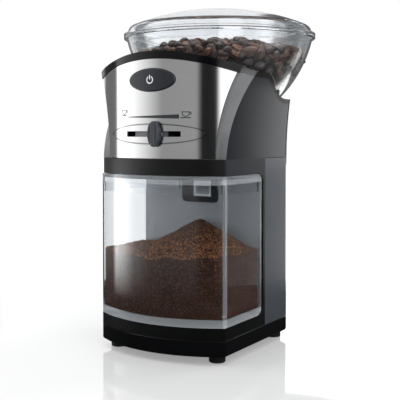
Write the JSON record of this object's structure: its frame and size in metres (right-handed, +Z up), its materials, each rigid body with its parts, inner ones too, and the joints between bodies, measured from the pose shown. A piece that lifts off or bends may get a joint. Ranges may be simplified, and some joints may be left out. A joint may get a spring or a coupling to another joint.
{
  "type": "burr coffee grinder",
  "caption": "Countertop burr coffee grinder with curved brushed-steel front, oval power button, grind slider, clear domed hopper and clear slide-in bin for ground coffee.",
  "frame": {"origin": "centre of the bounding box at table height, under the feet", "axes": "+Z up, -Y to the front with button and bin, +X to the right seen from the front"},
  "size_m": [0.168, 0.1944, 0.2854],
  "materials": {
    "black_gloss": "glossy",
    "slate": "satin",
    "steel_front": "brushed",
    "controls": "satin",
    "clear": "clear",
    "rubber": "matte",
    "hard_steel": "machined",
    "grey_plastic": "satin",
    "nylon": "satin",
    "bronze": "sintered",
    "motor_shell": "plated",
    "black_plastic": "matte",
    "ferrite": "matte",
    "board": "satin"
  },
  "bodies": {
    "housing": {"base_cover": "black_gloss", "rubber_feet": "rubber", "base_screw_set": "hard_steel", "bay_frame": "black_gloss", "rear_cover": "slate", "cord_gland": "rubber", "head_housing": "slate", "top_cover": "black_gloss", "front_panel": "steel_front", "power_switch": "black_plastic", "switch_bracket": "grey_plastic", "shaft_bush": "bronze", "grind_chamber": "grey_plastic", "chamber_screws": "hard_steel", "chute": "grey_plastic", "idler_axle": "hard_steel", "gear_plate": "hard_steel", "gear_posts": "hard_steel", "motor_can": "motor_shell", "motor_cap": "black_plastic", "motor_magnets": "ferrite", "interlock_switch": "black_plastic", "board_posts": "board", "control_board": "board"},
    "button": {"power_button": "controls"},
    "setting": {"grind_knob": "controls", "adjust_ring": "grey_plastic", "upper_burr": "hard_steel", "burr_holder": "grey_plastic"},
    "rotor": {"lower_burr": "hard_steel", "burr_rotor": "grey_plastic", "burr_shaft": "hard_steel", "feed_nut": "grey_plastic", "drive_gear": "nylon"},
    "idler": {"idler_gear": "nylon"},
    "motor_rotor": {"armature": "hard_steel", "motor_pinion": "hard_steel"},
    "plunger": {"interlock_plunger": "black_plastic"},
    "bin": {"coffee_bin": "clear", "bin_lid": "clear"},
    "hopper_unit": {"hopper": "clear", "hopper_seal": "rubber"},
    "lid": {"hopper_lid": "clear"}
  },
  "joints": [
    {"name": "button_press", "type": "slide", "parent": "housing", "child": "button", "axis": [0, 1, 0], "range_m": [0, 0.0025], "stiffness_N_per_m": 400},
    {"name": "grind_setting", "type": "hinge", "parent": "housing", "child": "setting", "pos_m": [0, 0.00675, 0.1765], "axis": [0, 0, 1], "range_deg": [-13.9, 8.8]},
    {"name": "burr_spin", "type": "hinge", "parent": "housing", "child": "rotor", "pos_m": [0, 0.00675, 0.16], "axis": [0, 0, 1], "continuous": true},
    {"name": "idler_spin", "type": "hinge", "parent": "housing", "child": "idler", "pos_m": [0.0184, 0.00675, 0.142], "axis": [0, 0, 1], "continuous": true},
    {"name": "motor_spin", "type": "hinge", "parent": "housing", "child": "motor_rotor", "pos_m": [0.0352, 0.00675, 0.11], "axis": [0, 0, 1], "continuous": true},
    {"name": "plunger_press", "type": "slide", "parent": "housing", "child": "plunger", "axis": [0, 1, 0], "range_m": [0, 0.0012], "stiffness_N_per_m": 200},
    {"name": "bin_slide", "type": "slide", "parent": "housing", "child": "bin", "axis": [0, -1, 0], "range_m": [0, 0.11]},
    {"name": "hopper_lift", "type": "slide", "parent": "housing", "child": "hopper_unit", "axis": [0, 0, 1], "range_m": [0, 0.06]},
    {"name": "lid_lift", "type": "slide", "parent": "hopper_unit", "child": "lid", "axis": [0, 0, 1], "range_m": [0, 0.05]}
  ],
  "couplings": [
    {"joint": "idler_spin", "follows": "burr_spin", "ratio": -2.2857},
    {"joint": "motor_spin", "follows": "burr_spin", "ratio": 6.8571}
  ]
}
